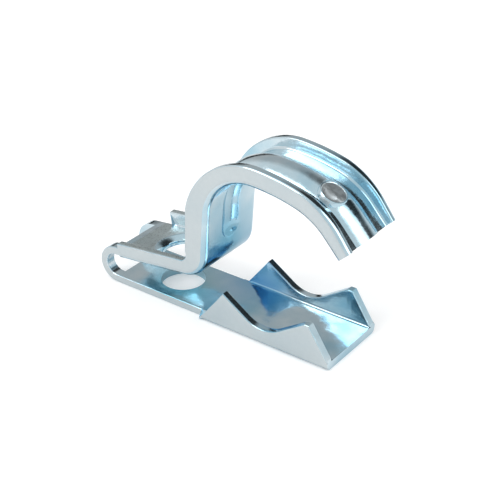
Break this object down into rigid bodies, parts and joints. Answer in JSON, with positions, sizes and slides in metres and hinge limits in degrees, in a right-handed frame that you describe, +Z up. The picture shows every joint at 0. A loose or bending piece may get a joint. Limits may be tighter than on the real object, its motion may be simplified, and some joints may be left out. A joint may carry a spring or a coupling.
{
  "type": "conduit clip",
  "caption": "Folded sheet-steel clip with a bolted plate, a ribbed hook and a notched saddle that hold one round conduit.",
  "frame": {"origin": "on the underside of the base, on the axis of the base's bolt hole", "axes": "+X along the strip from the bolt to the saddle, +Y across the strip, away from the turned-up edge of the plate, +Z up out of the surface that the base is bolted to, against the axis of the base's bolt hole"},
  "size_m": [0.0921, 0.0254, 0.0558],
  "materials": {
    "zinc_steel": "bright zinc plating with a pale blue tint"
  },
  "bodies": {
    "root": {"conduit_clip": "zinc_steel"}
  },
  "joints": []
}
